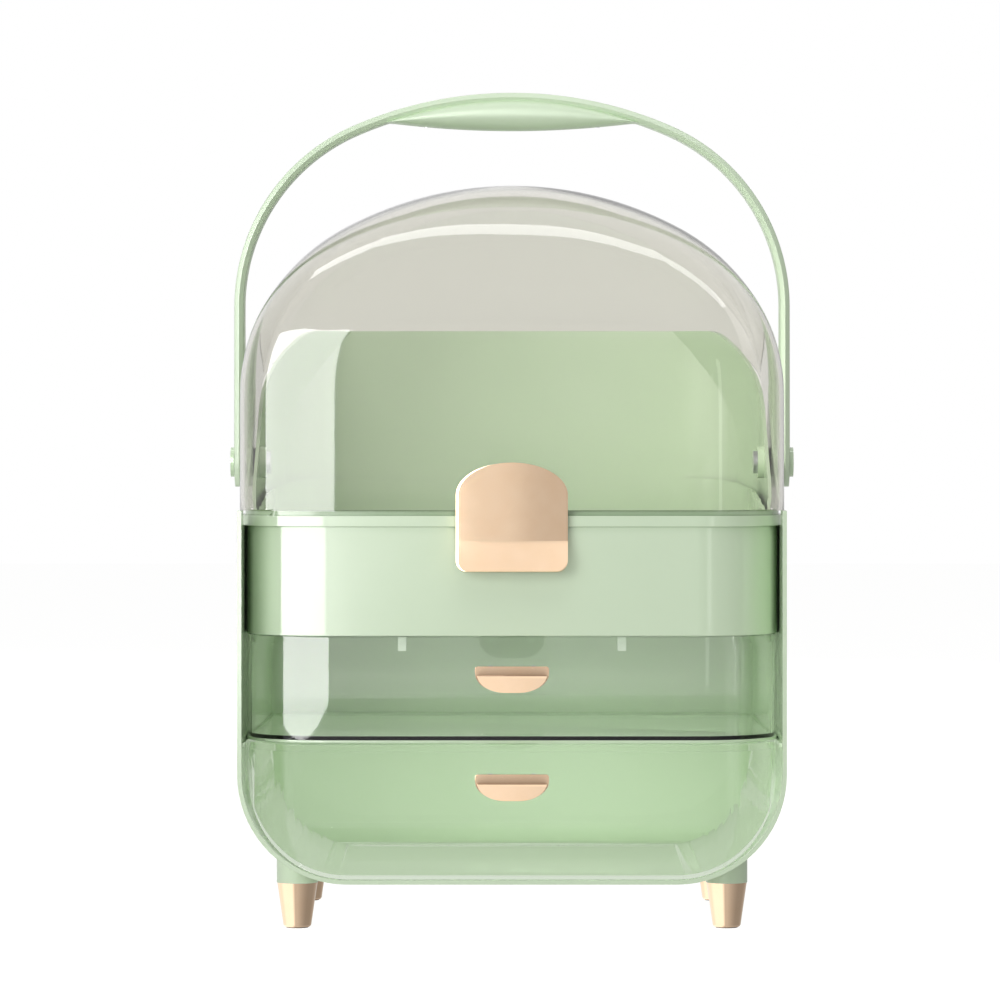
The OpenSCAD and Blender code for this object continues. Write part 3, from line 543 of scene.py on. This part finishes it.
hinge = next(Vector(j["pos_m"]) for j in frame["joints"] if j["name"] == "lid_hinge")
domeLow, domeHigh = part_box("lid_dome")
dome = {
    "crownRadius": 0.181, "shoulderRadius": 0.101,   # seen from the front
    "cornerRadius": 0.040,                           # upright corners at the rim
    "blendFrom": 0.300, "blendTo": 0.360,            # heights between which the rim's outline softens
    "squareness": 4.6,                               # how boxy the plan stays below the crown
    "wall": 0.002, "pinHole": 0.00305,
    "rearRise": 33,                                  # degrees above the pins where the rear edge is cut
    "cornerPoints": 28, "sidePoints": 14, "wallLevels": 6, "levels": 44, "rearPoints": 40,
}
domeHalfWidth = domeHigh.x
domeHalfDepth = hinge.y - domeLow.y


def domeSection(z, inset):
    # half width and half depth at height z
    top, widest, deepest = domeHigh.z, domeHalfWidth, domeHalfDepth
    crown, shoulder = dome["crownRadius"], dome["shoulderRadius"]
    tilt = math.asin((widest - shoulder) / (crown - shoulder))
    shoulderZ = top - crown + (crown - shoulder) * math.cos(tilt)
    if z <= shoulderZ:
        x = widest - inset
    elif z < top - crown + (crown - inset) * math.cos(tilt):
        x = widest - shoulder + math.sqrt(max(0, (shoulder - inset) ** 2 - (z - shoulderZ) ** 2))
    else:
        x = math.sqrt(max(0, (crown - inset) ** 2 - (z - top + crown) ** 2))
    roundZ = top - deepest
    y = deepest - inset if z <= roundZ else math.sqrt(max(0, (deepest - inset) ** 2 - (z - roundZ) ** 2))
    return x, y


def domeRing(z, inset):
    # a rounded rectangle at the rim that runs smoothly into an ellipse at the crown
    x, y = domeSection(z, inset)
    rx = x * (dome["cornerRadius"] - inset) / (domeHalfWidth - inset)
    ry = y * (dome["cornerRadius"] - inset) / (domeHalfDepth - inset)
    corners = ((1, 1), (-1, 1), (-1, -1), (1, -1))
    outline = []
    for quarter in range(4):
        (signX, signY), (nextX, nextY) = corners[quarter], corners[(quarter + 1) % 4]
        for i in range(dome["cornerPoints"]):
            a = math.pi / 2 * (quarter + i / dome["cornerPoints"])
            outline.append((signX * (x - rx) + rx * math.cos(a), signY * (y - ry) + ry * math.sin(a)))
        a = math.pi / 2 * (quarter + 1)
        begin = (signX * (x - rx) + rx * math.cos(a), signY * (y - ry) + ry * math.sin(a))
        end = (nextX * (x - rx) + rx * math.cos(a), nextY * (y - ry) + ry * math.sin(a))
        for i in range(dome["sidePoints"]):
            t = i / dome["sidePoints"]
            outline.append((begin[0] + (end[0] - begin[0]) * t, begin[1] + (end[1] - begin[1]) * t))
    rise = max(0.0, z - domeLow.z) / (domeHigh.z - domeLow.z)
    power = 2 + dome["squareness"] * (1 - min(1.0, rise) ** 3)       # 2 is an ellipse, more is boxier
    share = min(1.0, max(0.0, (z - dome["blendFrom"]) / (dome["blendTo"] - dome["blendFrom"])))
    share = share * share * (3 - 2 * share)                          # eased at both ends
    points = []
    for px, py in outline:
        a = math.atan2(py / max(y, 1e-6), px / max(x, 1e-6))
        reach = (abs(math.cos(a)) ** power + abs(math.sin(a)) ** power) ** (-1 / power)
        points.append((px + (x * reach * math.cos(a) - px) * share,
                       py + (y * reach * math.sin(a) - py) * share + hinge.y, z))
    return points


def domeBlock(inset, foot):
    # the solid form of the dome, set in by inset, from foot up to the crown
    top = domeHigh.z - inset
    roundZ = domeHigh.z - domeHalfDepth
    steps, levels = dome["wallLevels"], dome["levels"]
    heights = [foot] + [domeLow.z + (roundZ - domeLow.z) * i / steps for i in range(1, steps)]
    heights += [roundZ + (top - roundZ) * math.sin(math.pi / 2 * i / levels) for i in range(levels)]
    rings = [domeRing(z, inset) for z in heights]
    count = len(rings[0])
    verts = [p for ring in rings for p in ring] + [(0, hinge.y, foot), (0, hinge.y, top)]
    last = (len(rings) - 1) * count
    faces = bandFaces(len(rings), count)
    faces += [((i + 1) % count, i, len(verts) - 2) for i in range(count)]
    faces += [(last + i, last + (i + 1) % count, len(verts) - 1) for i in range(count)]
    return verts, faces


def buildDome():
    piece = newPiece("smokyDome", *domeBlock(0, domeLow.z), finishes["smoky_plastic"])
    below, beyond, beside = 0.001, 0.4, 0.2          # how far the cutters run past the dome
    inner = newPiece("cutter", *domeBlock(dome["wall"], domeLow.z - below), None)
    radius = hinge.z - domeLow.z
    rise = math.radians(dome["rearRise"])
    steps = dome["rearPoints"]
    floorZ = -radius - below
    outline = [(beyond * math.cos(rise), beyond * math.sin(rise)), (beyond, floorZ), (0, floorZ)]
    outline += [(radius * math.cos(a), radius * math.sin(a))
                for a in [-math.pi / 2 + (rise + math.pi / 2) * i / steps for i in range(steps + 1)]]
    rear = prismCutter([[(side * beside, hinge.y + y, hinge.z + z) for y, z in outline] for side in (-1, 1)])
    holes = [rodCutter("X", (side * domeHalfWidth, hinge.y, hinge.z), dome["pinHole"]) for side in (-1, 1)]
    carve(piece, [inner, rear] + holes)
    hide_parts("lid_dome")
    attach(piece, "lid")


buildDome()
print("vanity organizer: smoky dome built")

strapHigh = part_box("handle_strap")[1]
strap = {
    "crownRadius": 0.210, "shoulderRadius": 0.104, "thickness": 0.005,
    "topWidth": 0.020, "endWidth": 0.026,
    "ridge": 0.0018, "ridgeFrom": 0.004,             # how far its sides stand out, from this half width on
    # down the side: share of the ridge, inset, level; the lower half mirrors it
    "sideProfile": ((1, 0.0006, 1), (1, 0.0001, 0.93), (1, -0.0002, 0.78), (0, 0.0001, 0.1), (0, 0.0, 0)),
    "uprightSteps": 16, "arcSteps": 40, "endSteps": 14,
    "tip": 0.0004,                                   # least half width, at the very ends
    "pinHole": 0.00305, "screwX": 0.0449, "screwHole": 0.0032, "screwDepth": 0.0028,
}


def strapPath(inset):
    # middle line of the strap from the left pivot over the crown to the right one: (x, z, slope angle)
    wide, top = strapHigh.x - inset, strapHigh.z - inset
    crown, shoulder = strap["crownRadius"] - inset, strap["shoulderRadius"] - inset
    tilt = math.asin((wide - shoulder) / (crown - shoulder))
    shoulderZ = top - crown + (crown - shoulder) * math.cos(tilt)
    upright, steps = strap["uprightSteps"], strap["arcSteps"]
    half = [(wide, hinge.z + (shoulderZ - hinge.z) * i / upright, 0.0) for i in range(upright)]
    for i in range(steps):
        a = (math.pi / 2 - tilt) * i / steps
        half.append((wide - shoulder + shoulder * math.cos(a), shoulderZ + shoulder * math.sin(a), a))
    for i in range(steps + 1):
        a = math.pi / 2 - tilt + tilt * i / steps
        half.append((crown * math.cos(a), top - crown + crown * math.sin(a), a))
    return [(-x, z, math.pi - a) for x, z, a in half[:-1]] + list(reversed(half))


def loft(rings):
    count = len(rings[0])
    verts = [p for ring in rings for p in ring]
    ends = [tuple(range(count)), tuple(range(len(verts) - count, len(verts)))]
    return verts, bandFaces(len(rings), count) + ends


def strapRing(x, z, angle):
    # the strap's section across its path at one point
    half = strap["thickness"] / 2
    reach = strap["endWidth"] / 2
    if z < hinge.z:
        halfWidth = max(strap["tip"], math.sqrt(max(0, reach ** 2 - (hinge.z - z) ** 2)))
    else:
        rise = (z - hinge.z) / (strapHigh.z - hinge.z)
        halfWidth = reach + (strap["topWidth"] / 2 - reach) * rise
    ridge = strap["ridge"] * min(1, halfWidth / strap["ridgeFrom"])
    side = [(share * ridge + inward, level) for share, inward, level in strap["sideProfile"]]
    side += [(inward, -level) for inward, level in reversed(side[:-1])]
    side = [(max(0.0, halfWidth - inward), level * half) for inward, level in side]
    outline = side + [(-u, v) for u, v in reversed(side)]
    return [(x + v * math.cos(angle), hinge.y + u, z + v * math.sin(angle)) for u, v in outline]


def buildStrap():
    half = strap["thickness"] / 2
    reach = strap["endWidth"] / 2
    steps = strap["endSteps"]
    wide = strapHigh.x - half
    endHeights = [hinge.z - reach * math.sin(math.pi / 2 * i / steps) for i in range(steps, 0, -1)]
    path = [(-wide, z, math.pi) for z in endHeights] + strapPath(half)
    path += [(wide, z, 0.0) for z in reversed(endHeights)]
    piece = newPiece("handleStrap", *loft([strapRing(*point) for point in path]), satinAbs)
    cutters = [rodCutter("X", (side * wide, hinge.y, hinge.z), strap["pinHole"]) for side in (-1, 1)]
    crownZ = strapHigh.z - strap["crownRadius"]
    topZ = crownZ + math.sqrt(strap["crownRadius"] ** 2 - strap["screwX"] ** 2)
    screwZ = topZ - strap["screwDepth"] + rod["length"] / 2
    screwPlaces = [(side * strap["screwX"], hinge.y, screwZ) for side in (-1, 1)]
    cutters += [rodCutter("Z", place, strap["screwHole"]) for place in screwPlaces]
    carve(piece, cutters)
    piece.modifiers.new("skin", "WEIGHTED_NORMAL").keep_sharp = True
    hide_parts("handle_strap")
    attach(piece, "handle")


gripLow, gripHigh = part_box("handle_grip")
grip = {
    "cover": 0.003,                                  # how far it laps up over the strap's sides
    "endWidth": 0.78,                                # share of its full width that is left at the ends
    "sideFullness": 0.85, "topFullness": 0.95,       # 1 is a plain ellipse, less is fuller
    "tip": 0.0004,                                   # least half height, at the very ends
    "stations": 48, "ringPoints": 28,
}


def gripRing(x):
    # one section of the grip, under the strap's arch
    half, crown = gripHigh.x, strap["crownRadius"]
    crownZ = strapHigh.z - crown
    share = 1 - (x / half) ** 2
    strapFoot = crownZ + math.sqrt(crown ** 2 - x * x) - strap["thickness"]
    endFoot = crownZ + math.sqrt(crown ** 2 - half * half) - strap["thickness"]
    upper = strapFoot + grip["cover"] * share
    lower = endFoot + (gripLow.z - endFoot) * share
    width = (gripHigh.y - hinge.y) * (grip["endWidth"] + (1 - grip["endWidth"]) * math.sqrt(share))
    middle, rise = (upper + lower) / 2, max(grip["tip"], (upper - lower) / 2)
    ring = []
    for i in range(grip["ringPoints"]):
        a = 2 * math.pi * i / grip["ringPoints"]
        c, s = math.cos(a), math.sin(a)
        u = math.copysign(abs(c) ** grip["sideFullness"], c) * width
        v = math.copysign(abs(s) ** grip["topFullness"], s) * rise
        ring.append((x, hinge.y + u, middle + v))
    return ring


def buildGrip():
    # a lens-shaped pad moulded round the strap: full in the middle, running out to the strap at both ends
    steps = grip["stations"]
    places = [gripHigh.x * math.sin((-1 + 2 * k / steps) * math.pi / 2) for k in range(steps + 1)]
    piece = newPiece("handleGrip", *loft([gripRing(x) for x in places]), satinAbs)
    rounding = piece.modifiers.new("round", "SUBSURF")
    rounding.levels = rounding.render_levels = 1
    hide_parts("handle_grip")
    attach(piece, "handle")


buildStrap()
buildGrip()
print("vanity organizer: handle built")

tabLow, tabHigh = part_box("lid_tab")
tab = {
    "standOff": 0.0018, "thickness": 0.0018,         # the plate, and its rear face's distance from the dome
    "lipHeight": 0.017, "lipOut": 0.005,             # the lower part leans out
    "foldSoftness": 0.04,                            # share of the lip's height over which the fold runs
    "shoulder": 0.0165,                              # height of the rounded top
    "footRadius": 0.0055,                            # lower corners
    "bulge": 0.0003,                                 # how far the middle stands out from the sides
    "rim": 0.0008, "rimSteps": 4, "rimAngle": 50,    # rounding of the plate's edge
    "tip": 0.0002,                                   # least half width, at the very top
    "rows": 72, "columns": 48, "crowding": 0.9,      # rows crowd towards the top and the foot
    "padWidth": 0.0379, "padHeight": 0.016, "padFoot": 0.0041, "padCorner": 0.001,
    "padGap": 0.0001, "padInto": 0.0012,             # from the dome, and into the plate
}


def tabHalfWidth(z):
    foot = tabLow.z + tab["footRadius"]
    top = tabHigh.z - tab["shoulder"]
    if z < foot:
        return tabHigh.x - tab["footRadius"] + math.sqrt(max(0, tab["footRadius"] ** 2 - (foot - z) ** 2))
    if z > top:
        return tabHigh.x * math.sqrt(max(0, 1 - ((z - top) / tab["shoulder"]) ** 2))
    return tabHigh.x


def tabPoint(z, u, backY):
    # a point of the plate's rear face, u from -1 at its left edge to 1 at its right one
    x = max(tabHalfWidth(z), tab["tip"]) * u
    down = max(0.0, (tabLow.z + tab["lipHeight"] - z) / tab["lipHeight"])
    out = tab["lipOut"] * (math.hypot(down, tab["foldSoftness"]) - tab["foldSoftness"])
    bow = tab["bulge"] * (1 - (x / tabHigh.x) ** 2) * (1 - down)
    return x, backY - out - bow, z


def roundedBar(halfWidth, halfHeight, radius, steps=5):
    # outline of a bar with rounded corners, about its middle
    points = []
    for cornerU, cornerV, start in ((1, 1, 0), (-1, 1, 90), (-1, -1, 180), (1, -1, 270)):
        for i in range(steps + 1):
            a = math.radians(start + 90 * i / steps)
            points.append((cornerU * (halfWidth - radius) + radius * math.cos(a),
                           cornerV * (halfHeight - radius) + radius * math.sin(a)))
    return points


def buildTab():
    backY = domeLow.y - tab["standOff"]
    rows, columns = tab["rows"], tab["columns"]
    heights = []
    for i in range(rows + 1):
        t = i / rows
        t -= math.sin(2 * math.pi * t) / (2 * math.pi) * tab["crowding"]
        heights.append(tabLow.z + (tabHigh.z - tabLow.z) * t)
    verts = [tabPoint(z, -1 + 2 * j / columns, backY) for z in heights for j in range(columns + 1)]
    width = columns + 1
    faces = [(i * width + j, i * width + j + 1, (i + 1) * width + j + 1, (i + 1) * width + j)
             for i in range(rows) for j in range(columns)]
    piece = newPiece("lidTab", verts, faces, finishes["rose_plating"])
    sheet = piece.modifiers.new("sheet", "SOLIDIFY")
    sheet.thickness, sheet.offset = tab["thickness"], 1
    bevel = piece.modifiers.new("edge", "BEVEL")
    bevel.width, bevel.segments = tab["rim"], tab["rimSteps"]
    bevel.limit_method, bevel.angle_limit = "ANGLE", math.radians(tab["rimAngle"])
    applyModifiers(piece)

    outline = roundedBar(tab["padWidth"] / 2, tab["padHeight"] / 2, tab["padCorner"])
    padZ = domeLow.z + tab["padFoot"] + tab["padHeight"] / 2
    depths = (domeLow.y - tab["padGap"], backY - tab["padInto"])
    rings = [[(u, y, padZ + v) for u, v in outline] for y in depths]
    pad = newPiece("tabPad", *loft(rings), finishes["rose_plating"], False)
    for part in (piece, pad):
        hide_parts("lid_tab")
        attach(part, "lid")


buildTab()
print("vanity organizer: lid tab built")

print("vanity organizer: done")
